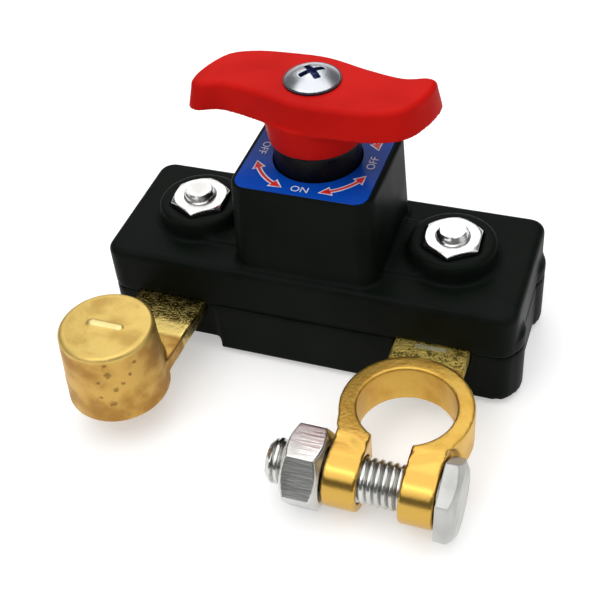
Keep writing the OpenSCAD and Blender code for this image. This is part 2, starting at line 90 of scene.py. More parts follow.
lowest = min(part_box(name)[0].z for name in nodes)
bpy.ops.object.select_all(action="DESELECT")
bpy.ops.mesh.primitive_plane_add(size=FLOOR_SIZE, location=(0, 0, lowest - FLOOR_DROP))
floor = bpy.context.active_object
floor.name = "studio_floor"
bpy.ops.object.transform_apply(location=True, rotation=True, scale=True)
floor_paint = bpy.data.materials.new("floor_paint")
floor_paint.use_nodes = True
tree = floor_paint.node_tree
paint = tree.nodes["Principled BSDF"]
paint.inputs["Base Color"].default_value = (0.8, 0.8, 0.8, 1)
paint.inputs["Roughness"].default_value = 0.9
paint.inputs["Specular IOR Level"].default_value = 0.1
paint.inputs["Emission Color"].default_value = (1, 1, 1, 1)
distance = add(tree, "VectorMath", operation="LENGTH")
tree.links.new(add(tree, "TexCoord").outputs["Object"], distance.inputs[0])
lift = ramp(tree, distance.outputs["Value"], LIFT_NEAR, LIFT_FAR, FLOOR_LIFT, 1.0)
tree.links.new(math_node(tree, "MULTIPLY", seen_ray(tree), lift), paint.inputs["Emission Strength"])
floor.data.materials.append(floor_paint)

ROOM_GREY = 0.143
HORIZON_LOW, HORIZON_HIGH = 0.04, 0.12
world = bpy.data.worlds.new("studio_air")
bpy.context.scene.world = world
world.use_nodes = True
tree = world.node_tree
height = add(tree, "SeparateXYZ")
tree.links.new(add(tree, "TexCoord").outputs["Generated"], height.inputs[0])
horizon = ramp(tree, height.outputs["Z"], HORIZON_LOW, HORIZON_HIGH, 1.0 - ROOM_GREY, 0.0)
white = math_node(tree, "MULTIPLY", seen_ray(tree), horizon)
air = tree.nodes["Background"]
air.inputs["Color"].default_value = (1, 1, 1, 1)
tree.links.new(math_node(tree, "ADD", white, ROOM_GREY), air.inputs["Strength"])

AIM = Vector((0, -8, 15)) * MM
SOFTBOXES = [  # name, place in mm, width and height in m, power in W
    ("overhead_softbox", (20, -20, 560), 0.80, 0.80, 3.1),
    ("back_softbox", (-190, 430, 420), 0.44, 0.36, 0.72),
    ("front_softbox", (-165, -340, 430), 0.42, 0.36, 0.72),
    ("side_softbox", (430, -60, 230), 0.30, 0.30, 0.2),
]
for name, place, width, height, power in SOFTBOXES:
    lamp = bpy.data.lights.new(name, "AREA")
    lamp.shape = "RECTANGLE"
    lamp.size, lamp.size_y, lamp.energy = width, height, power
    holder = bpy.data.objects.new(name, lamp)
    bpy.context.scene.collection.objects.link(holder)
    holder.location = Vector(place) * MM
    holder.rotation_euler = (AIM - holder.location).to_track_quat("-Z", "Y").to_euler()

# The camera stands where the photographer stood: it looks down at 43 degrees from the
# front, 23 degrees to the right of the housing's middle, and is rolled a little.
AZIMUTH, ELEVATION, ROLL = math.radians(23.065), math.radians(43.121), math.radians(-5.725)
DISTANCE, ASIDE, UPWARD = 232.014 * MM, 5.989 * MM, -2.313 * MM
FOCAL_PX, PHOTO_PX = 1164.165, 600
back = Vector((math.sin(AZIMUTH) * math.cos(ELEVATION),
               -math.cos(AZIMUTH) * math.cos(ELEVATION), math.sin(ELEVATION)))
level = (-back).cross(Vector((0, 0, 1))).normalized()
upright = level.cross(-back)
right = level * math.cos(ROLL) + upright * math.sin(ROLL)
up = upright * math.cos(ROLL) - level * math.sin(ROLL)
lens = bpy.data.cameras.new("photo_camera")
lens.sensor_width = 36
lens.lens = FOCAL_PX / PHOTO_PX * lens.sensor_width
lens.clip_start, lens.clip_end = 0.01, 100
camera = bpy.data.objects.new("photo_camera", lens)
bpy.context.scene.collection.objects.link(camera)
stand = back * DISTANCE - right * ASIDE - up * UPWARD
camera.matrix_world = Matrix.Translation(stand) @ Matrix((right, up, back)).transposed().to_4x4()
bpy.context.scene.camera = camera
bpy.context.scene.view_settings.view_transform = "Standard"


# The base is the lower moulding, black glass-filled nylon with a fine spark grain. Its
# edges are rounded by the mould, and four screws hold it up against the cover.
SEAM = 0.002 * MM


def rounded_copy(node, name, cell, passes):
    """A merged copy of a CAD node, remeshed in small cells and relaxed: its edges are soft."""
    bpy.ops.object.select_all(action="DESELECT")
    copy = bpy.data.objects.new(name, nodes[node].data.copy())
    bpy.context.scene.collection.objects.link(copy)
    copy.data.materials.clear()
    copy.select_set(True)
    bpy.context.view_layer.objects.active = copy
    bpy.ops.object.mode_set(mode="EDIT")
    bpy.ops.mesh.select_all(action="SELECT")
    bpy.ops.mesh.remove_doubles(threshold=SEAM)
    bpy.ops.object.mode_set(mode="OBJECT")
    remesh = copy.modifiers.new("cells", "REMESH")
    remesh.mode = "VOXEL"
    remesh.voxel_size = cell
    bpy.ops.object.modifier_apply(modifier=remesh.name)
    if passes:
        relax = copy.modifiers.new("relax", "SMOOTH")
        relax.factor = 0.5
        relax.iterations = passes
        bpy.ops.object.modifier_apply(modifier=relax.name)
    bpy.ops.object.shade_smooth()
    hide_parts(node)
    return copy


def mix_colour(tree, factor, first, second):
    """Two colours, or colour sockets, mixed by a mask."""
    made = add(tree, "Mix", data_type="RGBA")
    tree.links.new(factor, made.inputs["Factor"])
    for label, value in (("A", first), ("B", second)):
        if isinstance(value, tuple):
            made.inputs[label].default_value = (*value, 1)
        else:
            tree.links.new(value, made.inputs[label])
    return made.outputs["Result"]


def new_group(name, inputs, outputs):
    """An empty node group with named numbers in and out, and its two end nodes."""
    made = bpy.data.node_groups.new(name, "ShaderNodeTree")
    for label, value in inputs.items():
        socket = made.interface.new_socket(label, in_out="INPUT", socket_type="NodeSocketFloat")
        socket.default_value = value
    for label in outputs:
        made.interface.new_socket(label, in_out="OUTPUT", socket_type="NodeSocketFloat")
    return made, made.nodes.new("NodeGroupInput"), made.nodes.new("NodeGroupOutput")


def noise(tree, scale, detail=2.0, stretch=None):
    """Noise on the piece's own coordinates, in cells per metre, and stretched if asked."""
    place = add(tree, "TexCoord").outputs["Object"]
    if stretch:
        squeeze = add(tree, "VectorMath", operation="MULTIPLY")
        squeeze.inputs[1].default_value = stretch
        tree.links.new(place, squeeze.inputs[0])
        place = squeeze.outputs[0]
    made = add(tree, "TexNoise")
    made.inputs["Detail"].default_value = detail
    if isinstance(scale, (int, float)):
        made.inputs["Scale"].default_value = scale
    else:
        tree.links.new(scale, made.inputs["Scale"])
    tree.links.new(place, made.inputs["Vector"])
    return made.outputs[0]


mould_grain, ends_in, ends_out = new_group(
    "mould_grain", {"Grain Scale": 3500, "Cloud Scale": 120}, ["Height", "Cloud"])
for size_in, pattern_out in (("Grain Scale", "Height"), ("Cloud Scale", "Cloud")):
    mould_grain.links.new(noise(mould_grain, ends_in.outputs[size_in], 3),
                          ends_out.inputs[pattern_out])


def new_finish(name, colour, roughness, metallic=0.0, gloss=0.5):
    """A material with plain values on its shader, for its patterns to be added to."""
    made = bpy.data.materials.new(name)
    made.use_nodes = True
    shader = made.node_tree.nodes["Principled BSDF"]
    shader.inputs["Base Color"].default_value = (*colour, 1)
    shader.inputs["Roughness"].default_value = roughness
    shader.inputs["Metallic"].default_value = metallic
    shader.inputs["Specular IOR Level"].default_value = gloss
    return made, made.node_tree, shader


def place_group(tree, kind, **values):
    """One of the shared groups, with this material's own numbers."""
    made = add(tree, "Group", node_tree=kind)
    for label, value in values.items():
        made.inputs[label.replace("_", " ")].default_value = value
    return made


def bump(tree, shader, height, distance, strength=1.0):
    """Relief from a height, in metres."""
    made = add(tree, "Bump")
    made.inputs["Distance"].default_value = distance
    made.inputs["Strength"].default_value = strength
    tree.links.new(height, made.inputs["Height"])
    tree.links.new(made.outputs[0], shader.inputs["Normal"])


NYLON = (0.0040, 0.0062, 0.0046)
NYLON_GREY = (0.0072, 0.0092, 0.0076)
nylon, tree, shader = new_finish("black_nylon", NYLON, 0.42, gloss=0.035)
grain = place_group(tree, mould_grain, Grain_Scale=4200, Cloud_Scale=95)
clouds = ramp(tree, grain.outputs["Cloud"], 0.35, 0.7)
tree.links.new(mix_colour(tree, clouds, NYLON, NYLON_GREY), shader.inputs["Base Color"])
rough = ramp(tree, grain.outputs["Cloud"], 0.3, 0.75, 0.38, 0.5)
tree.links.new(rough, shader.inputs["Roughness"])
bump(tree, shader, grain.outputs["Height"], 0.03 * MM, 0.6)

HOUSING_CELL, HOUSING_PASSES = 0.36 * MM, 5
base = rounded_copy("base", "lower_moulding", HOUSING_CELL, HOUSING_PASSES)
base.data.materials.append(nylon)
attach(base, "housing")

# The terminals are cast in brass and laid in the base: the post's skin is tumbled smooth
# with a few pits and brown patina, and both arms keep the grain of the sand mould.
cast_skin, ends_in, ends_out = new_group(
    "cast_skin", {"Grain Scale": 900, "Patina Scale": 140, "Fleck Scale": 2500},
    ["Grain", "Patina", "Flecks"])
cast_skin.links.new(noise(cast_skin, ends_in.outputs["Grain Scale"], 4), ends_out.inputs["Grain"])
PATCH_SCALE, PATCH_SHARE = 520, 0.7
patches = math_node(cast_skin, "SUBTRACT", noise(cast_skin, PATCH_SCALE, 2), 0.5)
flecks = math_node(cast_skin, "ADD", noise(cast_skin, ends_in.outputs["Fleck Scale"], 5),
                   math_node(cast_skin, "MULTIPLY", patches, PATCH_SHARE))
cast_skin.links.new(flecks, ends_out.inputs["Flecks"])
cast_skin.links.new(noise(cast_skin, ends_in.outputs["Patina Scale"], 5),
                    ends_out.inputs["Patina"])


def along(tree, axis):
    """One of the piece's own coordinates."""
    split = add(tree, "SeparateXYZ")
    tree.links.new(add(tree, "TexCoord").outputs["Object"], split.inputs[0])
    return split.outputs[axis]


def mix_value(tree, factor, first, second):
    """Two numbers, or number sockets, mixed by a mask."""
    made = add(tree, "Mix", data_type="FLOAT")
    tree.links.new(factor, made.inputs["Factor"])
    for label, value in (("A", first), ("B", second)):
        if isinstance(value, float):
            made.inputs[label].default_value = value
        else:
            tree.links.new(value, made.inputs[label])
    return made.outputs["Result"]


POST_GOLD, POST_BROWN = (0.60, 0.375, 0.10), (0.40, 0.205, 0.045)
POST_PALE, POST_MARK, POST_PIT = (0.72, 0.52, 0.16), (0.92, 0.76, 0.34), (0.16, 0.07, 0.018)
ARM_GOLD, ARM_DARK = (0.70, 0.53, 0.17), (0.09, 0.07, 0.012)
PITS = [  # place in mm and radius in mm of the casting pits on the post's front
    ((-25.5, -41.8, 17.4), 0.85), ((-27.3, -42.4, 15.6), 0.45), ((-24.5, -41.5, 13.8), 0.65),
    ((-23.5, -40.7, 14.9), 0.5), ((-25.5, -42.2, 10.7), 0.85), ((-22.5, -39.6, 16.4), 0.5),
    ((-25.9, -41.7, 19.6), 0.5), ((-27.4, -42.6, 12.2), 0.4), ((-21.9, -38.4, 18.6), 0.4),
    ((-36.2, -38.2, 12.5), 0.5), ((-31.0, -25.2, 13.0), 0.7), ((-35.1, -27.8, 16.2), 0.5),
]
post_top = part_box("post_terminal")[1].z
post_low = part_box("post_terminal")[0]
POST_FOOT_R = 9.35 * MM
POST_CENTRE = (post_low.x + POST_FOOT_R, post_low.y + POST_FOOT_R)
RIM_IN, RIM_OUT = 7.0 * MM, 7.4 * MM
PIT_WOBBLE = 1.4 * MM
post_brass, tree, shader = new_finish("post_brass", POST_GOLD, 0.5, 1.0)
skin = place_group(tree, cast_skin, Grain_Scale=1500, Patina_Scale=190, Fleck_Scale=2400)
place = add(tree, "TexCoord").outputs["Object"]
wobble = math_node(tree, "MULTIPLY", math_node(tree, "SUBTRACT", skin.outputs["Grain"], 0.5),
                   PIT_WOBBLE)
pits = None
for spot, radius in PITS:
    gap = add(tree, "VectorMath", operation="DISTANCE")
    gap.inputs[1].default_value = Vector(spot) * MM
    tree.links.new(place, gap.inputs[0])
    ragged = math_node(tree, "ADD", gap.outputs["Value"], wobble)
    pit = ramp(tree, ragged, 0.35 * radius * MM, radius * MM, 1.0, 0.0)
    pits = pit if pits is None else math_node(tree, "MAXIMUM", pits, pit)
side = ramp(tree, along(tree, "Z"), post_top - 1.5 * MM, post_top - 0.9 * MM, 1.0, 0.0)
from_axis = add(tree, "VectorMath", operation="DISTANCE")
from_axis.inputs[1].default_value = (*POST_CENTRE, 0)
flat = add(tree, "VectorMath", operation="MULTIPLY")
flat.inputs[1].default_value = (1, 1, 0)
tree.links.new(place, flat.inputs[0])
tree.links.new(flat.outputs[0], from_axis.inputs[0])
rim = ramp(tree, from_axis.outputs["Value"], RIM_IN, RIM_OUT)
aged = ramp(tree, skin.outputs["Patina"], 0.40, 0.64, 0.0, 0.85)
fresh = mix_colour(tree, side, POST_PALE, POST_GOLD)
bare_rim = math_node(tree, "MULTIPLY", rim, math_node(tree, "SUBTRACT", 1.0, side))
worn = math_node(tree, "MULTIPLY", aged, math_node(tree, "SUBTRACT", 1.0, bare_rim))
brown = math_node(tree, "MULTIPLY", worn, ramp(tree, side, 0.0, 1.0, 0.45, 1.0))
colour = mix_colour(tree, brown, fresh, POST_BROWN)
colour = mix_colour(tree, math_node(tree, "MULTIPLY", pits, 0.62), colour, POST_PIT)
mark = ramp(tree, along(tree, "Z"), post_top - 0.3 * MM, post_top - 0.12 * MM)
colour = mix_colour(tree, mark, colour, POST_MARK)
arm_zone = ramp(tree, along(tree, "Y"), -25.0 * MM, -23.8 * MM)
wall_zone = ramp(tree, along(tree, "Y"), -22.0 * MM, -19.8 * MM, 0.0, 1.0)
dark = ramp(tree, skin.outputs["Flecks"], 0.44, 0.6, 1.0, 0.25)
grainy = mix_colour(tree, math_node(tree, "MULTIPLY", wall_zone, dark), ARM_GOLD, ARM_DARK)
tree.links.new(mix_colour(tree, arm_zone, colour, grainy), shader.inputs["Base Color"])
post_rough = ramp(tree, skin.outputs["Patina"], 0.3, 0.7, 0.44, 0.58)
rough = mix_value(tree, arm_zone, post_rough, 0.3)
tree.links.new(rough, shader.inputs["Roughness"])
dents = math_node(tree, "SUBTRACT", math_node(tree, "MULTIPLY", skin.outputs["Grain"], 0.35),
                  math_node(tree, "MULTIPLY", pits, 0.8))
coarse = math_node(tree, "MULTIPLY", skin.outputs["Flecks"],
                   math_node(tree, "MULTIPLY", wall_zone, 1.3))
bump(tree, shader, math_node(tree, "ADD", dents, coarse), 0.12 * MM)

CAST_CELL, CAST_PASSES = 0.24 * MM, 4
post = rounded_copy("post_terminal", "battery_post_casting", CAST_CELL, CAST_PASSES)
post.data.materials.append(post_brass)
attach(post, "housing")

RING_GOLD, RING_AMBER = (0.72, 0.46, 0.10), (0.58, 0.32, 0.05)
EYE_GOLD = (0.60, 0.37, 0.08)
# The second of these golds, near white, is a painted highlight for a strip on the clamp's arm by
# the housing wall.
GRAIN_GOLD, PAINTED_HIGHLIGHT_GOLD = (0.96, 0.74, 0.2), (1.0, 0.93, 0.6)
clamp_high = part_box("clamp_terminal")[1]
clamp_brass, tree, shader = new_finish("clamp_brass", RING_GOLD, 0.3, 1.0)
# Where the painted highlight lies on the clamp's arm, as a box in the piece's own coordinates.
PAINTED_HIGHLIGHT_STRIP = [("X", 24.4, 2.6, 3.0), ("Y", -15.2, 0.35, 0.6)]  # axis, middle, full and faded reach in mm
EYES_BACK = -39.2 * MM
skin = place_group(tree, cast_skin, Grain_Scale=1700, Patina_Scale=170, Fleck_Scale=2800)
aged = ramp(tree, skin.outputs["Patina"], 0.4, 0.7, 0.0, 0.8)
colour = mix_colour(tree, aged, RING_GOLD, RING_AMBER)
eyes_zone = ramp(tree, along(tree, "Y"), -39.0 * MM, -37.6 * MM, 1.0, 0.0)
colour = mix_colour(tree, eyes_zone, colour, EYE_GOLD)
arm_zone = ramp(tree, along(tree, "Y"), -19.4 * MM, -18.6 * MM)
dark = ramp(tree, skin.outputs["Flecks"], 0.33, 0.52, 0.85, 0.0)
grainy = mix_colour(tree, dark, GRAIN_GOLD, ARM_DARK)
highlight_strip = 1.0
for axis, middle, full, gone in PAINTED_HIGHLIGHT_STRIP:
    offset = math_node(tree, "SUBTRACT", along(tree, axis), middle * MM)
    inside = ramp(tree, math_node(tree, "ABSOLUTE", offset), full * MM, gone * MM, 1.0, 0.0)
    highlight_strip = math_node(tree, "MULTIPLY", inside, highlight_strip)
# Painted highlight: the strip by the housing wall takes the near-white gold.
grainy = mix_colour(tree, highlight_strip, grainy, PAINTED_HIGHLIGHT_GOLD)
tree.links.new(mix_colour(tree, arm_zone, colour, grainy), shader.inputs["Base Color"])
rough = mix_value(tree, eyes_zone, mix_value(tree, arm_zone, 0.42, 0.48), 0.24)
tree.links.new(rough, shader.inputs["Roughness"])
satin = math_node(tree, "MULTIPLY", skin.outputs["Grain"], mix_value(tree, eyes_zone, 0.7, 0.1))
coarse = math_node(tree, "MULTIPLY", skin.outputs["Flecks"], arm_zone)
bump(tree, shader, math_node(tree, "ADD", satin, coarse), 0.12 * MM)
CLAMP_PASSES, EYE_PASSES = 8, 14
clamp = rounded_copy("clamp_terminal", "split_clamp_casting", CAST_CELL, CLAMP_PASSES)
eyes = clamp.vertex_groups.new(name="eyes")
in_eyes = [corner.index for corner in clamp.data.vertices if corner.co.y < EYES_BACK]
eyes.add(in_eyes, 1.0, "REPLACE")
barrel = clamp.modifiers.new("barrel", "SMOOTH")
barrel.vertex_group = eyes.name
barrel.iterations = EYE_PASSES
bpy.ops.object.modifier_apply(modifier=barrel.name)
clamp.data.materials.append(clamp_brass)
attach(clamp, "housing")

# Silvered contact buttons are riveted through the plates, and the studs' heads and split
# spring washers lie under the cover. None of them shows once the switch is closed.
metal_lines, ends_in, ends_out = new_group(
    "metal_lines", {"Line Scale": 900, "Stain Scale": 160}, ["Lines", "Stain"])
metal_lines.links.new(noise(metal_lines, ends_in.outputs["Line Scale"], 3, (0.12, 1, 1)),
                      ends_out.inputs["Lines"])
metal_lines.links.new(noise(metal_lines, ends_in.outputs["Stain Scale"], 4),
                      ends_out.inputs["Stain"])


def plated(name, colour, dull, smooth, rough, relief):
    """A plated or bare metal with fine drawing lines and a faint stain."""
    made, tree, shader = new_finish(name, colour, smooth, 1.0)
    lines = place_group(tree, metal_lines, Line_Scale=1400, Stain_Scale=180)
    tree.links.new(mix_colour(tree, ramp(tree, lines.outputs["Stain"], 0.4, 0.75), colour, dull),
                   shader.inputs["Base Color"])
    tree.links.new(ramp(tree, lines.outputs["Stain"], 0.3, 0.7, smooth, rough),
                   shader.inputs["Roughness"])
    bump(tree, shader, lines.outputs["Lines"], relief)
    return made


def dress(names, material):
    """Gives CAD nodes whose shape stays a material in every slot."""
    for name in names:
        data = nodes[name].data
        if not data.materials:
            data.materials.append(material)
        for i in range(len(data.materials)):
            data.materials[i] = material


silver = plated("silver_contact", (0.82, 0.81, 0.78), (0.6, 0.58, 0.52), 0.2, 0.35, 0.01 * MM)
spring_steel = plated("spring_steel", (0.36, 0.36, 0.37), (0.22, 0.2, 0.19), 0.3, 0.45, 0.02 * MM)
copper = plated("copper", (0.78, 0.4, 0.26), (0.5, 0.22, 0.13), 0.25, 0.4, 0.02 * MM)
dress(["post_contact", "clamp_contact"], silver)
dress(["post_side_spring_washer", "clamp_side_spring_washer", "thrust_washer", "contact_spring",
       "housing_screws"], spring_steel)
dress(["contact_bridge"], copper)

# Each stud is a bright nickel-plated M6 screw with a rolled thread and a domed end, and
# its chamfered nut sits in a hexagon pocket of the cover's boss.
nickel = plated("nickel_steel", (0.74, 0.74, 0.73), (0.60, 0.59, 0.57), 0.18, 0.3, 0.015 * MM)
THREAD_SEAM = 0.001 * MM
TIP_SHARE, TIP_SLOPE = 0.93, 0.22


def threaded_rod(name, radius, pitch, depth, length, tip):
    """A rod along +X from the origin with a rolled thread, its far end coned over the tip."""
    turns = int(length / pitch) + 3
    shape = [(0.0, 1.0), (0.12, 0.25), (0.3, 0.0), (0.62, 0.0), (0.85, 0.5), (1.0, 1.0)]
    chain = [(pitch * (share - 1), 0, radius - depth * low) for share, low in shape]
    data = bpy.data.meshes.new(name)
    data.from_pydata(chain, [(i, i + 1) for i in range(len(chain) - 1)], [])
    rod = bpy.data.objects.new(name, data)
    bpy.context.scene.collection.objects.link(rod)
    bpy.ops.object.select_all(action="DESELECT")
    rod.select_set(True)
    bpy.context.view_layer.objects.active = rod
    screw = rod.modifiers.new("thread", "SCREW")
    screw.axis = "X"
    screw.steps = screw.render_steps = 40
    screw.screw_offset = pitch
    screw.iterations = turns
    screw.use_merge_vertices = True
    screw.merge_threshold = THREAD_SEAM
    bpy.ops.object.modifier_apply(modifier=screw.name)
    for corner in rod.data.vertices:
        away = math.hypot(corner.co.y, corner.co.z)
        limit = TIP_SHARE * (radius - depth) + TIP_SLOPE * radius * (length - corner.co.x) / tip
        if away > limit > 0:
            corner.co.y *= limit / away
            corner.co.z *= limit / away
    bpy.ops.object.mode_set(mode="EDIT")
    bpy.ops.mesh.select_all(action="SELECT")
    bpy.ops.mesh.remove_doubles(threshold=THREAD_SEAM)
    for plane, outer in ((0.0, False), (length, True)):
        bpy.ops.mesh.select_all(action="SELECT")
        bpy.ops.mesh.bisect(plane_co=(plane, 0, 0), plane_no=(1, 0, 0), use_fill=True,
                            clear_inner=not outer, clear_outer=outer)
    bpy.ops.mesh.select_all(action="SELECT")
    bpy.ops.mesh.normals_make_consistent(inside=False)
    bpy.ops.object.mode_set(mode="OBJECT")
    bpy.ops.object.shade_smooth_by_angle(angle=math.radians(40))
    return rod


def join(first, *others):
    """Several meshes become one piece, which keeps the first one's name and mount."""
    bpy.ops.object.select_all(action="DESELECT")
    for part in (first, *others):
        part.select_set(True)
    bpy.context.view_layer.objects.active = first
    bpy.ops.object.join()
    return first


def set_in_place(part, turned, shift):
    """Turns and moves a mesh built at the origin, and leaves its object there."""
    part.matrix_world = Matrix.Translation(shift) @ turned.to_4x4()
    bpy.ops.object.select_all(action="DESELECT")
    part.select_set(True)
    bpy.context.view_layer.objects.active = part
    bpy.ops.object.transform_apply(location=True, rotation=True, scale=True)


STUD_CELL, NUT_CELL = 0.2 * MM, 0.13 * MM
STUD_R, STUD_PITCH, STUD_DEPTH, STUD_TIP = 3.0 * MM, 1.0 * MM, 0.45 * MM, 0.9 * MM
STUD_SUNK, STUD_LAP = 1.0 * MM, 0.2 * MM
for side in ("post", "clamp"):
    low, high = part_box(side + "_side_stud")
    nut_low, nut_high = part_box(side + "_side_nut")
    centre = (low + high) / 2
    foot = nut_low.z - STUD_SUNK
    stud = threaded_rod(side + "_stud_end", STUD_R, STUD_PITCH, STUD_DEPTH, high.z - foot, STUD_TIP)
    upwards = Matrix.Rotation(math.radians(-90), 3, "Y")
    set_in_place(stud, upwards, Vector((centre.x, centre.y, foot)))
    head = rounded_copy(side + "_side_stud", side + "_stud", STUD_CELL, 1)
    bpy.ops.object.mode_set(mode="EDIT")
    bpy.ops.mesh.select_all(action="SELECT")
    bpy.ops.mesh.bisect(plane_co=(0, 0, foot + STUD_LAP), plane_no=(0, 0, 1), use_fill=True,
                        clear_outer=True)
    bpy.ops.object.mode_set(mode="OBJECT")
    stud = join(head, stud)
    nut = rounded_copy(side + "_side_nut", side + "_stud_nut", NUT_CELL, 2)
    for piece in (stud, nut):
        piece.data.materials.append(nickel)
        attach(piece, "housing")

# The cover is the upper moulding of the same black nylon: slab, square tower with the
# rotor's bearing, two stud bosses and the tops of the screw columns.
cover = rounded_copy("cover", "upper_moulding", HOUSING_CELL, HOUSING_PASSES)
cover.data.materials.append(nylon)
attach(cover, "housing")

# The label is a glossy blue film on the tower, printed with the four turning arrows in red
# with white outlines and with plain words for the two states.
BLUE, BLUE_PAINTED_SHADE = (0.003, 0.068, 0.46), (0.003, 0.042, 0.31)
film, tree, shader = new_finish("label_film", BLUE, 0.18, gloss=0.1)
# Painted shade: the film's blue is painted darker towards the back of the tower's top.
painted_shade_to_back = ramp(tree, along(tree, "Y"), -11 * MM, 10 * MM)
tree.links.new(mix_colour(tree, painted_shade_to_back, BLUE, BLUE_PAINTED_SHADE), shader.inputs["Base Color"])
bump(tree, shader, noise(tree, 500, 2), 0.01 * MM, 0.5)
dress(["dial_label"], film)


def ink(name, colour):
    """Printing ink: one colour with a slight cloud, as glossy as the film."""
    made, tree, shader = new_finish(name, colour, 0.3, gloss=0.2)
    pale = tuple(min(1.0, part * 1.15 + 0.01) for part in colour)
    tree.links.new(mix_colour(tree, ramp(tree, noise(tree, 900, 3), 0.35, 0.7), colour, pale),
                   shader.inputs["Base Color"])
    return made


red_ink = ink("red_ink", (0.62, 0.02, 0.02))
white_ink = ink("white_ink", (0.62, 0.66, 0.74))
film_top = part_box("dial_label")[1].z
INK_T = 0.02 * MM
ARROW_BAND, ARROW_WIDE, ARROW_HEAD = 0.24 * MM, 0.85 * MM, 1.8 * MM
ARROW_STEPS = 12


def arrow(name, middle, spread, radius, grow, level, material):
    """A curved arrow with a head at each end, round the knob's axis, lying at a level."""
    band, wide, head = ARROW_BAND + grow, ARROW_WIDE + grow * 1.7, ARROW_HEAD
    outline = []
    tip = spread + grow * 1.5 / radius
    neck = spread - head / radius - grow * 0.6 / radius
    steps = range(ARROW_STEPS + 1)
    outline += [(radius + band, -neck + 2 * neck * i / ARROW_STEPS) for i in steps]
    outline += [(radius + wide, neck), (radius, tip), (radius - wide, neck)]
    outline += [(radius - band, neck - 2 * neck * i / ARROW_STEPS) for i in steps]
    outline += [(radius - wide, -neck), (radius, -tip), (radius + wide, -neck)]
    corners = [(r * math.cos(middle + a), r * math.sin(middle + a), level) for r, a in outline]
    count = len(corners)
    corners += [(x, y, z + INK_T) for x, y, z in corners]
    faces = [tuple(range(count, 2 * count)), tuple(reversed(range(count)))]
    faces += [(i, (i + 1) % count, (i + 1) % count + count, i + count) for i in range(count)]
    data = bpy.data.meshes.new(name)
    data.from_pydata(corners, [], faces)
    made = bpy.data.objects.new(name, data)
    bpy.context.scene.collection.objects.link(made)
    bpy.ops.object.select_all(action="DESELECT")
    made.select_set(True)
    bpy.context.view_layer.objects.active = made
    bpy.ops.object.mode_set(mode="EDIT")
    bpy.ops.mesh.select_all(action="SELECT")
    bpy.ops.mesh.quads_convert_to_tris()
    bpy.ops.mesh.normals_make_consistent(inside=False)
    bpy.ops.object.mode_set(mode="OBJECT")
    made.data.materials.append(material)
    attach(made, "housing")
    return made


ARROW_R, ARROW_SPREAD, ARROW_EDGE = 10.75 * MM, math.radians(24), 0.24 * MM
ARROW_ANGLES = {"front_left": -133, "front_right": -46, "back_right": 46, "back_left": 133}
for corner, degrees in ARROW_ANGLES.items():
    middle = math.radians(degrees)
    arrow("arrow_edge_" + corner, middle, ARROW_SPREAD, ARROW_R, ARROW_EDGE, film_top, white_ink)
    arrow("arrow_" + corner, middle, ARROW_SPREAD, ARROW_R, 0.0, film_top + INK_T, red_ink)

WORD_SIZE, WORD_R = 2.1 * MM, 10.1 * MM
WORDS = [("on_front", "ON", -90), ("off_right", "OFF", 0), ("on_back", "ON", 90),
         ("off_left", "OFF", 180)]
for name, word, degrees in WORDS:
    bpy.ops.object.select_all(action="DESELECT")
    bpy.ops.object.text_add()
    mark = bpy.context.active_object
    mark.name = "print_" + name
    mark.data.body = word
    mark.data.size = WORD_SIZE
    mark.data.align_x = "CENTER"
    mark.data.align_y = "CENTER"
    mark.data.extrude = INK_T
    bpy.ops.object.convert(target="MESH")
    around = math.radians(degrees)
    place = Vector((WORD_R * math.cos(around), WORD_R * math.sin(around), film_top))
    set_in_place(mark, Matrix.Rotation(around + math.pi / 2, 3, "Z"), place)
    mark.data.materials.append(white_ink)
    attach(mark, "housing")

# The rotor is turned from black nylon and carries the bridge on a spring. Its neck, with
# the rubber seal in a groove, comes up through the tower's roof.
black_rotor, tree, shader = new_finish("black_rotor", (0.004, 0.004, 0.004), 0.3, gloss=0.1)
grain = place_group(tree, mould_grain, Grain_Scale=2500, Cloud_Scale=150)
tree.links.new(ramp(tree, grain.outputs["Cloud"], 0.3, 0.7, 0.25, 0.4), shader.inputs["Roughness"])
bump(tree, shader, grain.outputs["Height"], 0.02 * MM, 0.5)
rubber, tree, shader = new_finish("seal_rubber", (0.012, 0.012, 0.012), 0.7, gloss=0.2)
grain = place_group(tree, mould_grain, Grain_Scale=3000, Cloud_Scale=150)
bump(tree, shader, grain.outputs["Height"], 0.02 * MM, 0.5)
dress(["shaft_seal"], rubber)
ROTOR_CELL, ROTOR_PASSES = 0.3 * MM, 2
rotor = rounded_copy("rotor", "black_rotor", ROTOR_CELL, ROTOR_PASSES)
rotor.data.materials.append(black_rotor)
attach(rotor, "knob_and_rotor")

# The knob is one red moulding: an S-shaped bar with softly rounded edges on a flared hub,
# hollow under its wings, pressed on the rotor's square and held by the screw.
RED, RED_DEEP = (0.60, 0.010, 0.007), (0.51, 0.008, 0.006)
red_plastic, tree, shader = new_finish("red_plastic", RED, 0.4, gloss=0.03)
grain = place_group(tree, mould_grain, Grain_Scale=2200, Cloud_Scale=90)
tree.links.new(mix_colour(tree, ramp(tree, grain.outputs["Cloud"], 0.35, 0.7), RED, RED_DEEP),
               shader.inputs["Base Color"])
tree.links.new(ramp(tree, grain.outputs["Cloud"], 0.3, 0.7, 0.36, 0.46), shader.inputs["Roughness"])
bump(tree, shader, grain.outputs["Height"], 0.03 * MM, 0.5)
KNOB_CELL, KNOB_PASSES = 0.22 * MM, 9
knob = rounded_copy("knob", "red_knob", KNOB_CELL, KNOB_PASSES)
knob.data.materials.append(red_plastic)
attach(knob, "knob_and_rotor")

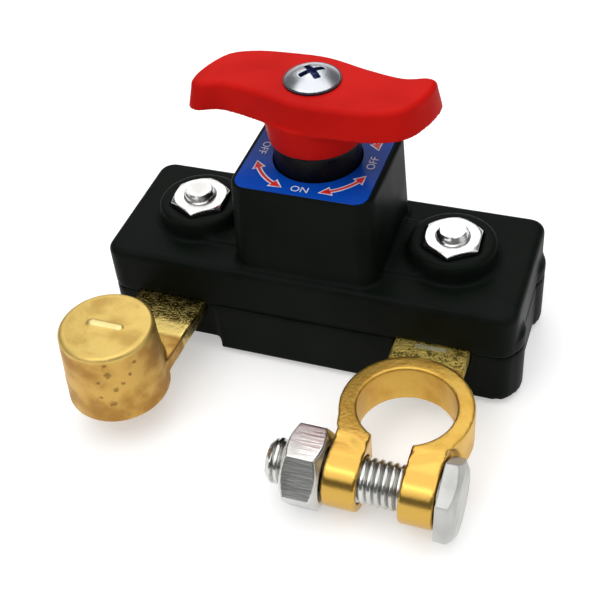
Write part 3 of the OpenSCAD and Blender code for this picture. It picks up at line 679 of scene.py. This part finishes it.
# A thin washer lies under the screw, painted near black as the shade under the screw's head. The
# screw's bright domed head has a cross recess with a dark blue coating left in it.
# Painted shade: the washer's near-black colour stands for the shade under the screw head.
painted_shade_washer, tree, shader = new_finish("dark_washer", (0.02, 0.02, 0.035), 0.35, 0.4)
lines = place_group(tree, metal_lines, Line_Scale=1800, Stain_Scale=200)
bump(tree, shader, lines.outputs["Lines"], 0.01 * MM)
dress(["knob_washer"], painted_shade_washer)

chrome = plated("chrome_screw", (0.54, 0.56, 0.59), (0.42, 0.45, 0.49), 0.26, 0.36, 0.01 * MM)
NAVY, NAVY_PALE = (0.012, 0.018, 0.09), (0.03, 0.04, 0.16)
navy, tree, shader = new_finish("recess_navy", NAVY, 0.3, 0.3)
lines = place_group(tree, metal_lines, Line_Scale=1500, Stain_Scale=300)
tree.links.new(mix_colour(tree, ramp(tree, lines.outputs["Stain"], 0.45, 0.65), NAVY, NAVY_PALE),
               shader.inputs["Base Color"])
SCREW_CELL, SCREW_PASSES = 0.11 * MM, 2
CROSS_HALF_W, CROSS_REACH, CROSS_DIP, DOME_R = 0.66 * MM, 2.42 * MM, 0.13 * MM, 8.1 * MM
screw = rounded_copy("knob_screw", "knob_screw_head", SCREW_CELL, SCREW_PASSES)
screw.data.materials.append(chrome)
screw.data.materials.append(navy)
screw_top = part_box("knob_screw")[1].z
washer_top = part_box("knob_washer")[1].z
for face in screw.data.polygons:
    spot = face.center
    arm_a = abs(spot.x + spot.y) / math.sqrt(2)
    arm_b = abs(spot.x - spot.y) / math.sqrt(2)
    in_cross = min(arm_a, arm_b) < CROSS_HALF_W and max(arm_a, arm_b) < CROSS_REACH
    dome = screw_top - (spot.x ** 2 + spot.y ** 2) / (2 * DOME_R)
    if in_cross and washer_top < spot.z < dome - CROSS_DIP:
        face.material_index = 1
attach(screw, "knob_and_rotor")

# The clamp's M8 bolt and nut are zinc plated steel: the hexagons are pressed, with their
# corners chamfered, and the thread is rolled. They draw the ring's jaws together.
zinc = plated("zinc_steel", (0.62, 0.62, 0.60), (0.50, 0.50, 0.485), 0.15, 0.27, 0.03 * MM)
bolt_low, bolt_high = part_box("clamp_bolt")
bolt_centre = (bolt_low + bolt_high) / 2
HEXAGON_CELL, NUT_PASSES, HEAD_PASSES = 0.17 * MM, 2, 6
NUT_TURN, NUT_FACE_R, NUT_SLOPE = 18, 5.75 * MM, 1.6
HEAD_TURN, HEAD_FACE_R, HEAD_SLOPE = -20.5, 5.6 * MM, 1.7
BOLT_R, BOLT_PITCH, BOLT_DEPTH, BOLT_TIP = 4.0 * MM, 1.25 * MM, 0.62 * MM, 1.0 * MM
EYE_INSET, HEAD_LAP = 2.2 * MM, 0.3 * MM


def pressed_hexagon(piece, degrees, ends, face_r, slope):
    """Turns a hexagon on the bolt's axis and chamfers its corners from a round face at each end."""
    turn = Matrix.Rotation(math.radians(degrees), 3, "X")
    axis = Vector((0, bolt_centre.y, bolt_centre.z))
    for corner in piece.data.vertices:
        arm = turn @ (corner.co - axis)
        limit = face_r + slope * min(abs(arm.x - end) for end in ends)
        away = math.hypot(arm.y, arm.z)
        if away > limit:
            arm.y *= limit / away
            arm.z *= limit / away
        corner.co = arm + axis


nut = rounded_copy("clamp_nut", "hexagon_clamp_nut", HEXAGON_CELL, NUT_PASSES)
nut_low, nut_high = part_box("clamp_nut")
pressed_hexagon(nut, NUT_TURN, (nut_low.x, nut_high.x), NUT_FACE_R, NUT_SLOPE)
nut.data.materials.append(zinc)
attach(nut, "clamp_nut")

head_face = clamp_high.x - EYE_INSET
shank = threaded_rod("bolt_thread", BOLT_R, BOLT_PITCH, BOLT_DEPTH, head_face - bolt_low.x,
                     BOLT_TIP)
set_in_place(shank, Matrix.Rotation(math.pi, 3, "Z"),
             Vector((head_face, bolt_centre.y, bolt_centre.z)))
bolt_zinc = zinc.copy()
bolt_zinc.name = "dull_zinc_head"
tree = bolt_zinc.node_tree
shader = tree.nodes["Principled BSDF"]
head_zone = ramp(tree, along(tree, "X"), head_face, head_face + 0.2 * MM)
smooth = shader.inputs["Roughness"].links[0].from_socket
tree.links.new(mix_value(tree, head_zone, smooth, 0.6), shader.inputs["Roughness"])
bolt = rounded_copy("clamp_bolt", "hexagon_clamp_bolt", HEXAGON_CELL, HEAD_PASSES)
bpy.ops.object.mode_set(mode="EDIT")
bpy.ops.mesh.select_all(action="SELECT")
bpy.ops.mesh.bisect(plane_co=(head_face - HEAD_LAP, 0, 0), plane_no=(1, 0, 0), use_fill=True,
                    clear_inner=True)
bpy.ops.object.mode_set(mode="OBJECT")
pressed_hexagon(bolt, HEAD_TURN, (bolt_high.x,), HEAD_FACE_R, HEAD_SLOPE)
bolt = join(bolt, shank)
bolt.data.materials.append(bolt_zinc)
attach(bolt, "clamp_bolt")
